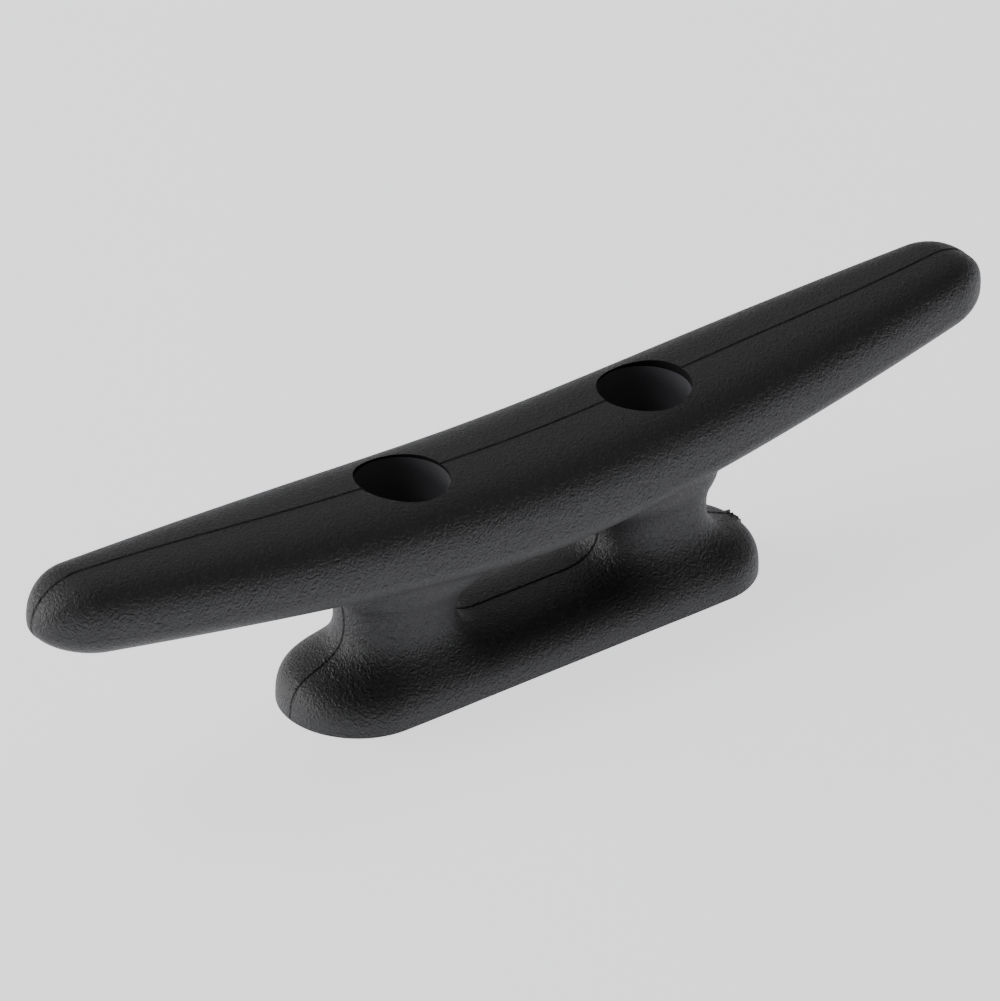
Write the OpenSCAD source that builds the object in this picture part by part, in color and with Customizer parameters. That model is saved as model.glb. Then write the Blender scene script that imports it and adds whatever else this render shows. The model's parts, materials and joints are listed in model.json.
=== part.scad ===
// Two-screw open-base horn cleat, injection moulded in one piece.
//
// Frame: +X runs along the horns, +Z is up, and the origin is the middle of the underside,
// on the deck. The moulding is one body. It is drawn as its named regions: the base, the two
// legs, the crossbar that joins them and the two horns that overhang the base.

/* [Overall] */
// Length over both horn tips
cleat_l = 152; // [130:1:190]

/* [Bar and horns] */
// Height of the ridge over the deck, midway between the legs
ridge_h = 29.3; // [28:0.1:32]
// Height of the bar's underside over the deck, midway between the legs
underside_h = 14.9; // [13.5:0.1:17]
// Slope of the ridge up to each horn tip, in degrees
ridge_slope = 4.8; // [3:0.1:7]
// Slope of the underside of each horn, in degrees
underside_slope = 8.5; // [6:0.1:9]
// Width of the bar midway
bar_w = 22.3; // [20:0.1:27]
// Width that a horn tapers to at its tip
tip_w = 11.3; // [8:0.1:16]
// Length of the rounded end of a horn
tip_round = 7.7; // [5:0.1:10]

/* [Base] */
// Length of the base
base_l = 74; // [68:1:92]
// Width of the base
base_w = 21.1; // [20:0.1:28]
// Height of the domed base
base_h = 6.4; // [5:0.1:8]

/* [Legs] */
// Distance between the middles of the two legs
leg_pitch = 41.2; // [39:0.2:46]
// Length of a leg at its waist, along the cleat
leg_l = 16; // [14:0.5:20]
// Width of a leg at its waist, across the cleat
leg_w = 13.2; // [12:0.2:16]
// Reach of the sweep from a leg into the bar and the base, along the cleat
sweep_l = 6; // [2:0.5:6.5]
// Reach of the sweep from a leg into the bar and the base, across the cleat
sweep_w = 2.2; // [0.6:0.2:2.4]

/* [Screw holes] */
// Distance between the two screw holes
hole_pitch = 39.2; // [35:0.1:48]
// Diameter of the screw holes, for an M6 or quarter-inch screw
screw_hole_d = 6.5; // [4:0.1:8]
// Diameter of the bore that takes the screw head
head_bore_d = 12.2; // [9:0.1:13]
// Depth of the head bore below the ridge
head_bore_depth = 12; // [8:0.5:13]
// Diameter of the shallow step around the mouth of the head bore
mouth_d = 12.6; // [12.3:0.1:14]
// Depth of the step below the ridge
mouth_depth = 0.8; // [0.6:0.1:2]

/* [Hidden] */

body_colour = "#1d1d1f";

// How softly the slopes of the ridge and the underside meet midway.
ridge_bend = 1.9;
underside_bend = 2;
// How the width runs from midway to the tips: 2 is a parabola.
width_power = 2.1;
// Squareness of a cross-section: 2 is an ellipse, more is nearer a rounded box.
crown_square_mid = 3.4;
crown_square_tip = 2.9;
keel_square = 2.1;
base_square = 3;
leg_square = 2.4;
// Share of the bar's depth that lies above its widest line.
upper_share = 0.63;

half_l = cleat_l / 2;
horn_root_x = base_l / 2;
leg_x = leg_pitch / 2;
hole_x = hole_pitch / 2;

// The level surfaces between the regions, clear of the dome and of the bar's underside.
region_gap = 0.5;
leg_foot_z = base_h + region_gap;
leg_top_z = underside_h - region_gap;
top_z = ridge_h + half_l * tan(ridge_slope);

bar_sides = 40;
leg_sides = 36;
end_steps = 14;
bar_steps = 30;
round_steps = 8;
sweep_steps = 5;
through = 1;
hole_fn = 96;

// ---- helpers ----

// A value raised to a power with its sign kept.
function signed_pow(v, p) = sign(v) * pow(abs(v), p);

// Points on a superellipse: half sizes a and b, squareness n, at angle t.
function squircle(a, b, n, t) = [a * signed_pow(cos(t), 2 / n), b * signed_pow(sin(t), 2 / n)];

// A closed solid through rings of points, with a fan to one point at either end.
module loft(rings, first, last) {
    count = len(rings[0]);
    n = len(rings);
    points = concat([for (ring = rings) for (p = ring) p], [first, last]);
    skin = [for (i = [0 : n - 2]) for (j = [0 : count - 1])
        let (k = (j + 1) % count)
        [i * count + j, (i + 1) * count + j, (i + 1) * count + k, i * count + k]];
    first_fan = [for (j = [0 : count - 1]) [n * count, j, (j + 1) % count]];
    last_fan = [for (j = [0 : count - 1])
        [n * count + 1, (n - 1) * count + (j + 1) % count, (n - 1) * count + j]];
    polyhedron(points, concat(skin, first_fan, last_fan), convexity = 6);
}

// ---- the bar with its two horns ----

// Rise at x of a line that slopes up both ways from a soft bend midway.
function rise(x, slope, bend) = sqrt(pow(x * tan(slope), 2) + pow(bend, 2)) - bend;
function ridge_z(x) = ridge_h + rise(x, ridge_slope, ridge_bend);
function underside_z(x) = underside_h + rise(x, underside_slope, underside_bend);
function depth_at(x) = ridge_z(x) - underside_z(x);
function widest_z(x) = ridge_z(x) - upper_share * depth_at(x);

function along(x) = abs(x) / half_l;
function width_at(x) = bar_w + (tip_w - bar_w) * pow(along(x), width_power);
function crown_square(x) = crown_square_mid + (crown_square_tip - crown_square_mid) * along(x);

// Height of the bar's lower surface at x and y.
function keel_z(x, y) = widest_z(x) - (1 - upper_share) * depth_at(x)
    * pow(1 - pow(abs(y) * 2 / width_at(x), keel_square), 1 / keel_square);

// A point of the cross-section at x, t degrees round from the +Y side.
function bar_point(x, t) = sin(t) > 0
    ? squircle(width_at(x) / 2, upper_share * depth_at(x), crown_square(x), t)
    : squircle(width_at(x) / 2, (1 - upper_share) * depth_at(x), keel_square, t);

// The cross-section at x, shrunk by the factor s towards its widest line.
function bar_ring(x, s) = [for (j = [0 : bar_sides - 1])
    let (p = bar_point(x, 360 * j / bar_sides))
    [x, s * p[0], widest_z(x) + s * p[1]]];

// A ring of the rounded end of a horn, t degrees round from where the rounding starts.
function end_ring(side, t) = bar_ring(side * (half_l - tip_round + tip_round * sin(t)), cos(t));

module bar() {
    straight = half_l - tip_round;
    left_end = [for (i = [round_steps - 1 : -1 : 0]) end_ring(-1, 90 * i / round_steps)];
    middle = [for (i = [1 : bar_steps - 1]) bar_ring(straight * (2 * i / bar_steps - 1), 1)];
    right_end = [for (i = [0 : round_steps - 1]) end_ring(1, 90 * i / round_steps)];
    tip_z = widest_z(half_l);
    loft(concat(left_end, middle, right_end), [-half_l, 0, tip_z], [half_l, 0, tip_z]);
}

// ---- the base ----

// The outline of the base with its edge drawn in to the share s of its half width.
function base_ring(s, z) = [for (side = [1, -1]) for (i = [0 : end_steps])
    let (t = 180 * i / end_steps - side * 90)
    [side * (base_l - base_w) / 2 + s * base_w / 2 * cos(t), s * base_w / 2 * sin(t), z]];

module dome() {
    rings = [for (i = [0 : round_steps - 1]) let (t = 90 * i / round_steps)
        base_ring(pow(cos(t), 2 / base_square), base_h * pow(sin(t), 2 / base_square))];
    loft(rings, [0, 0, 0], [0, 0, base_h]);
}

// ---- the legs ----

// A leg starts inside the dome and ends this far inside the bar.
foot_z = 0.7 * base_h;
head_bury = 1;
waist_z = (foot_z + keel_z(leg_x, 0)) / 2;

// How far the sweep has come out at level u: 0 at the waist, 1 at the foot and the head.
function sweep_at(u) = 1 - sqrt(1 - u * u);

// Height at level u over the point x, y: the foot is level, the head follows the bar.
function leg_z(u, x, y) = u < 0
    ? waist_z + u * (waist_z - foot_z)
    : waist_z + u * (keel_z(x, y) + head_bury - waist_z);

function leg_ring(u) = [for (j = [0 : leg_sides - 1])
    let (p = squircle(
        leg_l / 2 + sweep_l * sweep_at(u),
        leg_w / 2 + sweep_w * sweep_at(u),
        leg_square,
        360 * j / leg_sides))
    [leg_x + p[0], p[1], leg_z(u, leg_x + p[0], p[1])]];

// The right leg. The left one is its mirror image.
module leg() {
    rings = [for (i = [-sweep_steps : sweep_steps]) leg_ring(sin(90 * i / sweep_steps))];
    loft(rings, [leg_x, 0, foot_z], [leg_x, 0, leg_z(1, leg_x, 0)]);
}

// ---- the moulding and its holes ----

module moulding() {
    bar();
    dome();
    leg();
    mirror([1, 0, 0]) leg();
}

// The part of the moulding from x0 to x1 and from z0 to z1. Resizing it by nothing makes it one
// closed shell, so the holes can be cut into it as true cylinders.
module region(x0, x1, z0, z1) {
    resize([0, 0, 0]) intersection() {
        union() moulding();
        translate([x0, -base_w, z0]) cube([x1 - x0, 2 * base_w, z1 - z0]);
    }
}

module screw_hole() {
    translate([0, 0, -through])
        cylinder(d = screw_hole_d, h = ridge_h + 2 * through, $fn = hole_fn);
}

// The bore for the screw head, with the shallow step round its mouth.
module head_bore() {
    mouth_z = ridge_z(hole_x);
    translate([0, 0, mouth_z - head_bore_depth])
        cylinder(d = head_bore_d, h = head_bore_depth + through, $fn = hole_fn);
    translate([0, 0, mouth_z - mouth_depth])
        cylinder(d = mouth_d, h = mouth_depth + through, $fn = hole_fn);
}

// ---- the named regions ----

module base() {
    color(body_colour) difference() {
        region(-half_l, half_l, 0, leg_foot_z);
        for (side = [-1, 1]) {
            translate([side * hole_x, 0, 0]) screw_hole();
        }
    }
}

module leg_region(side) {
    inner_x = 0;
    outer_x = side * horn_root_x;
    color(body_colour) difference() {
        region(min(inner_x, outer_x), max(inner_x, outer_x), leg_foot_z, leg_top_z);
        translate([side * hole_x, 0, 0]) screw_hole();
    }
}

module left_leg() {
    leg_region(-1);
}

module right_leg() {
    leg_region(1);
}

module crossbar() {
    color(body_colour) difference() {
        region(-horn_root_x, horn_root_x, leg_top_z, top_z);
        for (side = [-1, 1]) {
            translate([side * hole_x, 0, 0]) {
                screw_hole();
                head_bore();
            }
        }
    }
}

module left_horn() {
    color(body_colour) region(-half_l, -horn_root_x, leg_top_z, top_z);
}

module right_horn() {
    color(body_colour) region(horn_root_x, half_l, leg_top_z, top_z);
}

base();
left_leg();
right_leg();
crossbar();
left_horn();
right_horn();
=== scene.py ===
"""Moulded nylon horn cleat: the skin of the moulding, its parting line, screw bores and gate mark."""

import json
import math

import bmesh
import bpy
import numpy as np
from mathutils import Matrix, Vector

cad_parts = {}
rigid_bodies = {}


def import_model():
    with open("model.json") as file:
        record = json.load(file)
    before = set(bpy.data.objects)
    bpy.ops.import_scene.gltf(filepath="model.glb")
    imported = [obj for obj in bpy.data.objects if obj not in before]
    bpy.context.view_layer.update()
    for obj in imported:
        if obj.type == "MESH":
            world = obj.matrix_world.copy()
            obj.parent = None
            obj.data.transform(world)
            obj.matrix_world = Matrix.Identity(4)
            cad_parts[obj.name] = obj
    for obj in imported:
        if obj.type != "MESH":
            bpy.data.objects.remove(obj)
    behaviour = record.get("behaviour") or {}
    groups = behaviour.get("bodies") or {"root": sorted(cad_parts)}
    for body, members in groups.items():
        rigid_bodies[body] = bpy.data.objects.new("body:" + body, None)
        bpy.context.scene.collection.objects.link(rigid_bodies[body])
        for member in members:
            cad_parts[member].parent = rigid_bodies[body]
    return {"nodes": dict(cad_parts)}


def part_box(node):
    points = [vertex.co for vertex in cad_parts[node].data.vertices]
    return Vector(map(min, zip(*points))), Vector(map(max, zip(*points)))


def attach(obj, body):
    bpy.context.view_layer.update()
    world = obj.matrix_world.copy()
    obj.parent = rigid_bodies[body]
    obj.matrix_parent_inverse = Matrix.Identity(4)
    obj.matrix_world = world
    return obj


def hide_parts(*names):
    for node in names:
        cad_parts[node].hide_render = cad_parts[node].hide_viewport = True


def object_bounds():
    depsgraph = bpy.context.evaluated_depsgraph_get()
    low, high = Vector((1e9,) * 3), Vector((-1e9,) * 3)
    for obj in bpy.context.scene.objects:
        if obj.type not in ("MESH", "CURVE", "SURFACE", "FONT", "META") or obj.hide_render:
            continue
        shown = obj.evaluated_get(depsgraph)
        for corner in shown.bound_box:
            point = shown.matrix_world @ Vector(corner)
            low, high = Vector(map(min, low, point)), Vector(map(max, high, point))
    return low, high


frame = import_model()
cad_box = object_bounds()

MM = 0.001

# ---- sizes of the moulding, in millimetres ----

# The bar and its two horns.
half_length = cad_box[1].x / MM
ridge_height = 29.3
underside_height = 14.9
ridge_slope = math.tan(math.radians(4.8))
underside_slope = math.tan(math.radians(8.5))
ridge_bend = 1.9
underside_bend = 2.0
bar_width = 22.3
tip_width = 11.3
tip_round = 7.7
# How the width runs from midway to the tips: 2 is a parabola.
width_power = 2.1
# Squareness of a cross-section: 2 is an ellipse, more is nearer a rounded box.
crown_square_mid = 3.4
crown_square_tip = 2.9
keel_square = 2.1
# Share of the bar's depth that lies above its widest line.
upper_share = 0.63

# The base.
base_half_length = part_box("base")[1].x / MM
base_width = 21.1
base_height = 6.4
base_square = 3.0

# The legs, and how far their fillets reach into the bar and the base. The fillet into the bar
# fades out by head_fade_top, and is never quite sharp.
leg_place = 20.6
leg_half_length = 8.0
leg_half_width = 6.6
leg_square = 2.4
head_fillet = 7.4
head_fade_top = 20.5
least_fillet = 0.3
foot_fillet = 4.6

# The bores. Each mouth has a shallow collar, then a short taper into the head bore.
bore_place = 19.6
head_bore_radius = 6.1
mouth_radius = 6.2
screw_hole_radius = 3.25
head_bore_depth = 12.0
floor_lead = 0.35
collar_height = 0.85
collar_taper = 0.4

# The skin is drawn this much inside the sizes above, so that no grain or step passes them.
skin_inset = 0.03

# Keeps a root or a power away from a zero that it can't take.
tiny = 1e-9


# ---- the form of the moulding, as a field: below zero inside, about a millimetre per unit ----


def soft_min(a, b, reach):
    """The smaller of two fields, with a fillet of about that reach where they meet."""
    mix = np.clip(0.5 + 0.5 * (b - a) / reach, 0, 1)
    return b * (1 - mix) + a * mix - reach * mix * (1 - mix)


def rise(x, slope, bend):
    """Height gained at x by a line that slopes up both ways from a soft bend midway."""
    return np.sqrt((x * slope) ** 2 + bend**2) - bend


def ridge(x):
    """Height of the ridge of the bar at x."""
    return ridge_height + rise(x, ridge_slope, ridge_bend)


def bar_field(x, y, z):
    """The bar and its two horns: rounded-box sections that taper and sweep up to the tips."""
    along = np.clip(np.abs(x) / half_length, 0, 1)
    top = ridge(x)
    under = underside_height + rise(x, underside_slope, underside_bend)
    half_width = (bar_width + (tip_width - bar_width) * along**width_power) / 2
    upper = upper_share * (top - under)
    lower = (top - under) - upper
    over_widest = z - (top - upper)
    reach = np.where(over_widest > 0, over_widest / upper, -over_widest / lower)
    crown = crown_square_mid + (crown_square_tip - crown_square_mid) * along
    square = np.where(over_widest > 0, crown, keel_square)
    section = ((np.abs(y) / half_width) ** square + reach**square + tiny) ** (1 / square)
    past_round = np.maximum(np.abs(x) - (half_length - tip_round), 0) / tip_round
    return (np.sqrt(section**2 + past_round**2) - 1) * np.minimum(half_width, (top - under) / 2)


def leg_field(x, y, z):
    """The two legs: upright oval posts, which the fillets turn into waisted necks."""
    from_axis = np.abs(x) - leg_place
    across = np.abs(y) / leg_half_width
    powers = np.abs(from_axis / leg_half_length) ** leg_square + across**leg_square + tiny
    oval = powers ** (1 / leg_square) - 1
    inside_bar = (ridge_height + underside_height) / 2
    return np.maximum(oval * leg_half_width, z - inside_bar)


def base_field(x, y, z):
    """The base: a domed plate with round ends. Below the deck it carries straight on down."""
    end_radius = base_width / 2
    past_straight = np.maximum(np.abs(x) - (base_half_length - end_radius), 0)
    outline = np.sqrt((past_straight / end_radius) ** 2 + (y / end_radius) ** 2 + tiny)
    height = np.maximum(z, 0) / base_height
    dome = (outline**base_square + height**base_square + tiny) ** (1 / base_square)
    return (dome - 1) * base_height


def moulding_field(p):
    """The whole moulding without its bores: bar, legs and base, blended with fillets."""
    x, y, z = p[..., 0], p[..., 1], p[..., 2]
    fade = np.clip((head_fade_top - z) / (head_fade_top - underside_height), 0, 1)
    reach = least_fillet + head_fillet * fade**2 * (3 - 2 * fade)
    upper = soft_min(bar_field(x, y, z), leg_field(x, y, z), reach)
    return soft_min(upper, base_field(x, y, z), foot_fillet) + skin_inset


def field_slope(p, step=0.02):
    """The direction and steepness in which the field grows at each point."""
    shifts = np.eye(3) * step
    return np.stack(
        [(moulding_field(p + s) - moulding_field(p - s)) / (2 * step) for s in shifts], axis=-1
    )


def settle(p, rounds=5, least_steepness=0.04):
    """Moves points onto the surface of the moulding."""
    for _ in range(rounds):
        slope = field_slope(p)
        steep = np.maximum((slope**2).sum(-1), least_steepness)
        p = p - slope * (moulding_field(p) / steep)[..., None]
    return p


def outward(p):
    """Unit normals of the moulding at each point."""
    slope = field_slope(p)
    return slope / np.linalg.norm(slope, axis=-1, keepdims=True)


# ---- a net of quads over the surface ----


def surface_net(low, high, step):
    """Quads round the surface: one point in each cell that the surface crosses, then settled."""
    counts = [int(round((high[k] - low[k]) / step)) + 1 for k in range(3)]
    axes = [low[k] + step * np.arange(counts[k]) for k in range(3)]
    value = moulding_field(np.stack(np.meshgrid(*axes, indexing="ij"), axis=-1))
    cells = [n - 1 for n in counts]

    def corner(offset):
        return value[tuple(slice(offset[k], offset[k] + cells[k]) for k in range(3))]

    total = np.zeros(cells + [3])
    crossings = np.zeros(cells)
    corners = [(i, j, k) for i in (0, 1) for j in (0, 1) for k in (0, 1)]
    for a in corners:
        for axis in range(3):
            if a[axis]:
                continue
            b = tuple(a[k] + (k == axis) for k in range(3))
            va, vb = corner(a), corner(b)
            crosses = (va < 0) != (vb < 0)
            share = np.where(crosses, va / np.where(crosses, va - vb, 1), 0)
            for k in range(3):
                total[..., k] += crosses * (a[k] + (share if k == axis else 0))
            crossings += crosses
    used = crossings > 0
    number = np.full(cells, -1)
    number[used] = np.arange(used.sum())
    place = np.argwhere(used) + total[used] / crossings[used][:, None]
    points = np.array(low) + step * place

    # Each grid edge that the surface crosses gives a quad through the four cells round it.
    quads = []
    for axis in range(3):
        e, f = (axis + 1) % 3, (axis + 2) % 3
        near = [slice(1, cells[k]) for k in range(3)]
        far = list(near)
        near[axis] = slice(0, cells[axis])
        far[axis] = slice(1, counts[axis])
        va, vb = value[tuple(near)], value[tuple(far)]
        for inside_first in (True, False):
            hit = np.argwhere((va < 0) & (vb >= 0) if inside_first else (va >= 0) & (vb < 0))
            here = hit.copy()
            here[:, e] += 1
            here[:, f] += 1

            def cell(de, df):
                at = here.copy()
                at[:, e] -= 1 - de
                at[:, f] -= 1 - df
                return number[at[:, 0], at[:, 1], at[:, 2]]

            ring = [cell(0, 0), cell(1, 0), cell(1, 1), cell(0, 1)]
            quads.append(np.stack(ring if inside_first else ring[::-1], axis=-1))
    return settle(points), np.concatenate(quads)


# ---- the parting line of the mould, in millimetres ----

groove_half_width = 0.22
groove_depth = 0.12
groove_cuts = 9
# The near mould half stands back by the mismatch at the line, and comes level over the fade.
mismatch = 0.08
mismatch_fade = 3.0
step_width = 0.35
# The line lies a touch behind the middle, and strays most at this place on each horn.
parting_middle = 0.12
parting_stray = 0.7
stray_place = 58
stray_spread = 18


def parting_wander(x):
    """How far the parting line strays from the middle: to the back on one horn, to the front
    on the other, straight between the legs."""
    from_stray = (np.abs(x) - stray_place) / stray_spread
    return parting_middle - parting_stray * np.sign(x) * np.exp(-(from_stray**2))


def parting_offset(y):
    """Height of the skin at y from the parting plane: a fine groove, with the far half proud."""
    near = np.abs(y) < groove_half_width
    groove = -0.5 * groove_depth * (1 + np.cos(np.pi * y / groove_half_width)) * near
    side = 0.5 * (1 + np.tanh(y / (step_width * groove_half_width)))
    return groove - mismatch * (1 - side) * np.exp(-np.abs(y) / mismatch_fade)


def parting_slope(y, step=0.004):
    """How steeply the parting line's profile falls or rises at y."""
    return (parting_offset(y + step) - parting_offset(y - step)) / (2 * step)


def parted_normals(p):
    """Normals of the skin with the groove and step of the parting line in them."""
    n = outward(p)
    across = np.array([0.0, 1.0, 0.0]) - n * n[:, 1:2]
    bent = n - across * parting_slope(p[:, 1] - parting_wander(p[:, 0]))[:, None]
    return bent / np.linalg.norm(bent, axis=1)[:, None]


# ---- the gate mark, in millimetres ----

# The lip is a ragged ring of radius gate_reach round the crater.
gate_reach = 0.95
gate_lip = 0.32
gate_lip_width = 0.3
gate_crater_depth = 0.15
gate_crater_radius = 0.6
# The skin is divided finer within this distance of the gate.
gate_detail_reach = 2.4
# Close to the parting line, at the right end of the base. settle() brings it onto the skin.
gate_guess = np.array([base_half_length - 1.5, 0.1, 4.2])
gate_point = settle(gate_guess)
gate_at = tuple(gate_point * MM)


def gate_offset(p):
    """The torn gate: a ragged lip round a shallow crater, where the sprue was twisted off."""
    away = p - gate_point
    far = np.linalg.norm(away, axis=1)
    turn = np.arctan2(away[:, 2] * 1.2, away[:, 1])
    ragged = 1 + 0.3 * np.sin(3 * turn + 0.7) + 0.25 * np.sin(7 * turn) + 0.15 * np.sin(13 * turn)
    lip = gate_lip * ragged * np.exp(-(((far - gate_reach) / gate_lip_width) ** 2))
    return lip - gate_crater_depth * np.exp(-((far / gate_crater_radius) ** 2))


# ---- the skin mesh, in millimetres ----

net_step = 0.6
# The net starts below the deck and ends well over the ridge. What is below the deck is cut off.
below_deck = 1.2
over_ridge = 10
on_deck_height = 1e-3


def points_of(bm):
    """The places of all the points of a mesh, as rows."""
    return np.array([v.co for v in bm.verts])


def cut(bm, place, direction, drop=False):
    """Cuts the mesh along a plane, and drops what lies beyond it if asked."""
    found = bm.verts[:] + bm.edges[:] + bm.faces[:]
    return bmesh.ops.bisect_plane(
        bm, geom=found, plane_co=place, plane_no=direction, clear_outer=drop, dist=1e-4
    )


def make_skin():
    """The closed shell of the moulding, before the bores are cut."""
    side = math.ceil(bar_width / 2 / net_step + 2) * net_step
    low = (-half_length - 2 * net_step, -side, -below_deck)
    high = (half_length + 2 * net_step, side, ridge_height + over_ridge)
    points, quads = surface_net(low, high, net_step)
    mesh = bpy.data.meshes.new("cleat_skin")
    mesh.from_pydata(points.tolist(), [], quads.tolist())
    bm = bmesh.new()
    bm.from_mesh(mesh)
    # The cuts follow the parting line: it is straightened, cut along, and put back.
    for v in bm.verts:
        v.co.y -= parting_wander(v.co.x)
    for y in np.linspace(-1, 1, groove_cuts) * groove_half_width:
        cut(bm, (0, y, 0), (0, 1, 0))
    for v in bm.verts:
        v.co.y += parting_wander(v.co.x)
    rim = cut(bm, (0, 0, 0), (0, 0, -1), drop=True)["geom_cut"]
    edges = [g for g in rim if isinstance(g, bmesh.types.BMEdge)]
    bmesh.ops.contextual_create(bm, geom=edges)
    close = [v for v in bm.verts if (v.co - Vector(gate_point)).length < gate_detail_reach]
    close_edges = {e for v in close for e in v.link_edges}
    bmesh.ops.subdivide_edges(bm, edges=list(close_edges), cuts=3, use_grid_fill=True)
    p = points_of(bm)
    offset = parting_offset(p[:, 1] - parting_wander(p[:, 0])) + gate_offset(p)
    moved = p + outward(p) * offset[:, None]
    # The underside stays flat on the deck.
    on_deck = p[:, 2] < on_deck_height
    moved[on_deck] = p[on_deck]
    for v, co in zip(bm.verts, moved):
        v.co = co
    bm.to_mesh(mesh)
    bm.free()
    return bpy.data.objects.new("cleat_skin", mesh)


def turned(profile, place, sides=128):
    """A closed cutter turned from (radius, height) points round an upright axis."""
    bm = bmesh.new()
    rings = []
    for radius, height in profile:
        angles = [2 * math.pi * i / sides for i in range(sides)]
        rings.append([
            bm.verts.new((place + radius * math.cos(a), radius * math.sin(a), height))
            for a in angles
        ])
    for low, high in zip(rings, rings[1:]):
        for i in range(sides):
            k = (i + 1) % sides
            bm.faces.new((low[i], low[k], high[k], high[i]))
    bm.faces.new(rings[0][::-1])
    bm.faces.new(rings[-1])
    mesh = bpy.data.meshes.new("core_pin")
    bm.to_mesh(mesh)
    bm.free()
    return bpy.data.objects.new("core_pin", mesh)


def core_pin(side):
    """The shape of the pin that forms one bore: screw hole, head bore, then the collar."""
    mouth = float(ridge(bore_place))
    floor_height = mouth - head_bore_depth
    past_ends = 1.0
    profile = [
        (screw_hole_radius, -past_ends),
        (screw_hole_radius, floor_height - floor_lead),
        (screw_hole_radius + floor_lead, floor_height),
        (head_bore_radius - floor_lead, floor_height),
        (head_bore_radius, floor_height + floor_lead),
        (head_bore_radius, mouth - collar_height - collar_taper),
        (mouth_radius, mouth - collar_height),
        (mouth_radius, mouth + 3 * past_ends),
    ]
    return turned(profile, side * bore_place)


# ---- materials ----


def linear(hex_colour):
    """An sRGB hex colour as linear red, green, blue and alpha."""
    parts = [int(hex_colour[i : i + 2], 16) / 255 for i in (1, 3, 5)]
    return [c / 12.92 if c <= 0.04045 else ((c + 0.055) / 1.055) ** 2.4 for c in parts] + [1.0]


def add(tree, kind, settings=None, **links):
    """Adds a node. settings are its own properties. links are its inputs, as values or sockets,
    each under its name or as in_ and its number."""
    made = tree.nodes.new(kind)
    for name, value in (settings or {}).items():
        setattr(made, name, value)
    for name, value in links.items():
        key = int(name[3:]) if name.startswith("in_") else name.replace("_", " ")
        socket = made.inputs[key]
        if isinstance(value, bpy.types.NodeSocket):
            tree.links.new(value, socket)
        else:
            socket.default_value = value
    return made


def new_material(name):
    """An empty node material and its tree."""
    material = bpy.data.materials.new(name)
    material.use_nodes = True
    tree = material.node_tree
    tree.nodes.clear()
    return material, tree


def finish_material(tree, shader):
    """Joins the shader to the material's output."""
    add(tree, "ShaderNodeOutputMaterial", Surface=shader.outputs[0])


def grained_nylon():
    """Black nylon, moulded against an etched leather-grain tool: a soft, finely broken sheen.
    Round the gate, where the plastic was torn, pale flecks show."""
    crease_mm, pebble_mm, grain_depth_mm = 0.7, 0.35, 0.12
    material, tree = new_material("nylon_grain_moulded")
    where = add(tree, "ShaderNodeTexCoord").outputs["Object"]
    folds = add(
        tree, "ShaderNodeTexNoise",
        Vector=where, Scale=1 / (crease_mm * MM), Detail=1.0, Distortion=0.6,
    )
    from_fold = add(
        tree, "ShaderNodeMath", {"operation": "SUBTRACT"}, in_0=folds.outputs["Fac"], in_1=0.5
    )
    crease = add(tree, "ShaderNodeMath", {"operation": "ABSOLUTE"}, in_0=from_fold.outputs[0])
    pebble = add(
        tree, "ShaderNodeTexNoise", Vector=where, Scale=1 / (pebble_mm * MM), Detail=1.0
    )
    height = add(
        tree, "ShaderNodeMath", {"operation": "MULTIPLY_ADD"},
        in_0=crease.outputs[0], in_1=2.6, in_2=pebble.outputs["Fac"],
    )
    bump = add(
        tree, "ShaderNodeBump",
        Strength=1.0, Distance=grain_depth_mm * MM, Height=height.outputs[0],
    )
    rough = add(
        tree, "ShaderNodeMapRange",
        Value=pebble.outputs["Fac"], From_Min=0.3, From_Max=0.7, To_Min=0.50, To_Max=0.62,
    )
    torn = add(tree, "ShaderNodeVectorMath", {"operation": "DISTANCE"}, in_0=where, in_1=gate_at)
    near_gate = add(
        tree, "ShaderNodeMapRange",
        Value=torn.outputs["Value"], From_Min=0.8 * MM, From_Max=2.6 * MM, To_Min=1.0, To_Max=0.0,
    )
    fleck = add(tree, "ShaderNodeTexNoise", Vector=where, Scale=1 / (0.3 * MM), Detail=2.0)
    pale = add(
        tree, "ShaderNodeMapRange",
        Value=fleck.outputs["Fac"], From_Min=0.52, From_Max=0.68, To_Min=0.0, To_Max=0.55,
    )
    whitened = add(
        tree, "ShaderNodeMath", {"operation": "MULTIPLY"},
        in_0=pale.outputs[0], in_1=near_gate.outputs[0],
    )
    colour = add(
        tree, "ShaderNodeMix", {"data_type": "RGBA"},
        in_0=whitened.outputs[0], in_6=linear("#1d1d1e"), in_7=linear("#b4b09f"),
    )
    shader = add(
        tree, "ShaderNodeBsdfPrincipled",
        Base_Color=colour.outputs[2], IOR=1.53,
        Roughness=rough.outputs[0], Normal=bump.outputs[0],
    )
    finish_material(tree, shader)
    return material


def smooth_nylon():
    """Black nylon, moulded against polished core pins: smooth walls with a clearer sheen.
    Their colour is painted paler than the outside, as painted light: little lamp light gets down to
    them."""
    material, tree = new_material("nylon_core_pin_painted_light")
    where = add(tree, "ShaderNodeTexCoord").outputs["Object"]
    drag = add(tree, "ShaderNodeMapping", Vector=where, Scale=(1.0, 1.0, 0.08))
    streaks = add(
        tree, "ShaderNodeTexNoise", Vector=drag.outputs[0], Scale=1 / (0.5 * MM), Detail=2.0
    )
    bump = add(
        tree, "ShaderNodeBump",
        Strength=1.0, Distance=0.0015 * MM, Height=streaks.outputs["Fac"],
    )
    rough = add(
        tree, "ShaderNodeMapRange",
        Value=streaks.outputs["Fac"], From_Min=0.3, From_Max=0.7, To_Min=0.36, To_Max=0.42,
    )
    shader = add(
        tree, "ShaderNodeBsdfPrincipled",
        # Painted light: a paler grey than the black outside, standing in for light on the bore walls.
        Base_Color=linear("#56565a"), IOR=1.53,
        Roughness=rough.outputs[0], Normal=bump.outputs[0],
    )
    finish_material(tree, shader)
    return material


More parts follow.
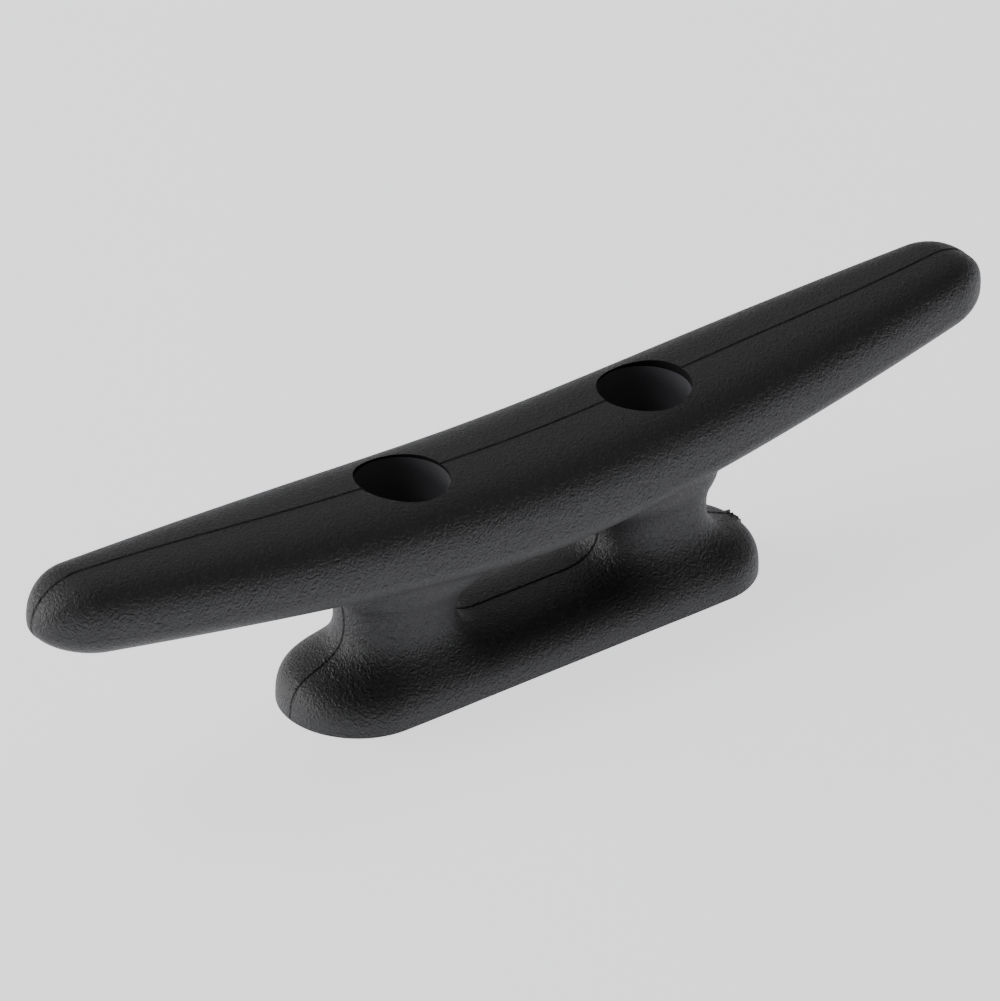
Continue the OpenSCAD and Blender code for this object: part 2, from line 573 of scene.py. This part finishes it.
def matt_nylon():
    """Black nylon, moulded against the blasted collar of a core pin: a dead matt rim, darkened with
    painted shade.
    """
    material, tree = new_material("nylon_collar_painted_shade")
    where = add(tree, "ShaderNodeTexCoord").outputs["Object"]
    blast = add(tree, "ShaderNodeTexNoise", Vector=where, Scale=1 / (0.3 * MM), Detail=1.0)
    rough = add(
        tree, "ShaderNodeMapRange",
        Value=blast.outputs["Fac"], From_Min=0.3, From_Max=0.7, To_Min=0.8, To_Max=0.9,
    )
    shader = add(
        tree, "ShaderNodeBsdfPrincipled",
        # Painted shade: darker than the outside black, for the dark band just under each bore's rim.
        Base_Color=linear("#0c0c0d"), Roughness=rough.outputs[0], Specular_IOR_Level=0.2,
    )
    finish_material(tree, shader)
    return material


def opal_sheet():
    """The pale floor: a matt opal acrylic sheet, lit evenly from below like a light table."""
    material, tree = new_material("acrylic_opal_matt")
    where = add(tree, "ShaderNodeTexCoord").outputs["Object"]
    mottle = add(tree, "ShaderNodeTexNoise", Vector=where, Scale=30.0, Detail=2.0)
    rough = add(
        tree, "ShaderNodeMapRange",
        Value=mottle.outputs["Fac"], From_Min=0.3, From_Max=0.7, To_Min=0.8, To_Max=0.9,
    )
    shader = add(
        tree, "ShaderNodeBsdfPrincipled",
        Base_Color=linear("#c8c8ca"), Roughness=rough.outputs[0],
        Emission_Color=(0.96, 0.965, 1, 1), Emission_Strength=1.4,
    )
    finish_material(tree, shader)
    return material


# ---- putting the cleat together ----


def link(thing):
    """Puts an object in the scene and hands it back."""
    bpy.context.scene.collection.objects.link(thing)
    return thing


def cut_bores(skin, wall_material, collar_material):
    """Cuts both bores into the skin with their core pins, then takes the pins away."""
    collar_foot = float(ridge(bore_place)) - collar_height
    for side in (-1, 1):
        pin = link(core_pin(side))
        pin.data.materials.append(wall_material)
        pin.data.materials.append(collar_material)
        for face in pin.data.polygons:
            face.material_index = int(face.center.z > collar_foot)
        modifier = skin.modifiers.new("bore", "BOOLEAN")
        modifier.operation = "DIFFERENCE"
        modifier.solver = "EXACT"
        modifier.object = pin
        modifier.material_mode = "TRANSFER"
    depsgraph = bpy.context.evaluated_depsgraph_get()
    cut_mesh = bpy.data.meshes.new_from_object(skin.evaluated_get(depsgraph))
    cut_mesh.name = "cleat_skin"
    skin.modifiers.clear()
    skin.data = cut_mesh
    for pin in [o for o in bpy.data.objects if o.name.startswith("core_pin")]:
        bpy.data.objects.remove(pin)


def shade(skin):
    """Exact normals: from the field on the outside, from the axis in the bores, flat elsewhere."""
    # How much of a face's normal is vertical: at most in a wall, at least in a level face.
    upright, level = 0.3, 0.9
    mesh = skin.data
    grain = mesh.materials[0]
    mesh.polygons.foreach_set("use_smooth", [True] * len(mesh.polygons))
    points = np.array([v.co for v in mesh.vertices])
    outside = parted_normals(points)
    normals = np.zeros((len(mesh.loops), 3))
    for face in mesh.polygons:
        flat = np.array(face.normal)
        in_bore = mesh.materials[face.material_index] != grain
        for loop in face.loop_indices:
            v = mesh.loops[loop].vertex_index
            if in_bore and abs(flat[2]) < upright:
                side = math.copysign(1, points[v][0])
                to_axis = np.array([side * bore_place - points[v][0], -points[v][1], 0])
                normals[loop] = to_axis / np.linalg.norm(to_axis)
            elif in_bore or (points[v][2] < on_deck_height and flat[2] < -level):
                normals[loop] = flat
            else:
                normals[loop] = outside[v]
    mesh.normals_split_custom_set(normals)


def build_cleat():
    """The whole moulding as one skin, riding on the root in place of the six CAD regions."""
    grain = grained_nylon()
    skin = link(make_skin())
    skin.data.materials.append(grain)
    cut_bores(skin, smooth_nylon(), matt_nylon())
    shade(skin)
    skin.data.transform(Matrix.Scale(MM, 4))
    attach(skin, "root")
    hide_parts(*sorted(frame["nodes"]))
    return skin


# ---- floor, light and camera ----


def make_floor():
    """The floor lies a hair below the deck plane, so the base's flat underside stays clear of it."""
    reach, drop = 3.0, 0.1 * MM
    bm = bmesh.new()
    corners = [(-reach, -reach), (reach, -reach), (reach, reach), (-reach, reach)]
    bm.faces.new([bm.verts.new((x, y, -drop)) for x, y in corners])
    mesh = bpy.data.meshes.new("floor")
    bm.to_mesh(mesh)
    bm.free()
    floor = link(bpy.data.objects.new("floor", mesh))
    mesh.materials.append(opal_sheet())


def soft_box(name, place, target, size, power):
    """A rectangular panel light at place, aimed at target, in metres and watts."""
    data = bpy.data.lights.new(name, "AREA")
    data.shape = "RECTANGLE"
    data.size, data.size_y = size
    data.energy = power
    lamp = link(bpy.data.objects.new(name, data))
    lamp.location = place
    aim = Vector(target) - Vector(place)
    lamp.rotation_euler = aim.to_track_quat("-Z", "Y").to_euler()
    return lamp


def light_the_table():
    """A lit table: most light comes up from the floor, with dim panels behind, over and left."""
    world = bpy.data.worlds.new("studio")
    world.use_nodes = True
    world.node_tree.nodes["Background"].inputs["Color"].default_value = (1, 1, 1, 1)
    world.node_tree.nodes["Background"].inputs["Strength"].default_value = 0.12
    bpy.context.scene.world = world
    centre = (0, 0, 0.015)
    soft_box("behind", (0.75, 0.94, 0.62), centre, (2.0, 0.8), 2.2)
    soft_box("over", (0.1, 0.12, 1.0), centre, (0.9, 0.9), 0.8)
    soft_box("left", (-0.62, 0.50, 0.16), centre, (1.0, 0.3), 5)
    soft_box("high left", (-0.50, 0.36, 0.75), centre, (0.5, 0.5), 3.0)


# Angles in degrees, the lens and its sensor in millimetres, the distance in metres.
camera_yaw = 38.60
camera_pitch = 30.70
camera_roll = 1.06
camera_distance = 0.8793
camera_lens = 246.86
camera_sensor = 36
camera_shift = (-0.0232, -0.0041)
camera_target = Vector((0.0, 0.0, 0.020))


def place_camera():
    """Looks at the cleat from in front, to one side and above."""
    data = bpy.data.cameras.new("camera")
    data.lens = camera_lens
    data.sensor_width = camera_sensor
    data.shift_x, data.shift_y = camera_shift
    camera = link(bpy.data.objects.new("camera", data))
    yaw, pitch = math.radians(camera_yaw), math.radians(camera_pitch)
    look = Vector((math.sin(yaw) * math.cos(pitch), math.cos(yaw) * math.cos(pitch), -math.sin(pitch)))
    camera.location = camera_target - look * camera_distance
    level = look.to_track_quat("-Z", "Y").to_matrix()
    camera.rotation_euler = (level @ Matrix.Rotation(math.radians(camera_roll), 3, "Z")).to_euler()
    data.clip_start, data.clip_end = 0.05, 20
    bpy.context.scene.camera = camera


place_camera()
build_cleat()
make_floor()
light_the_table()
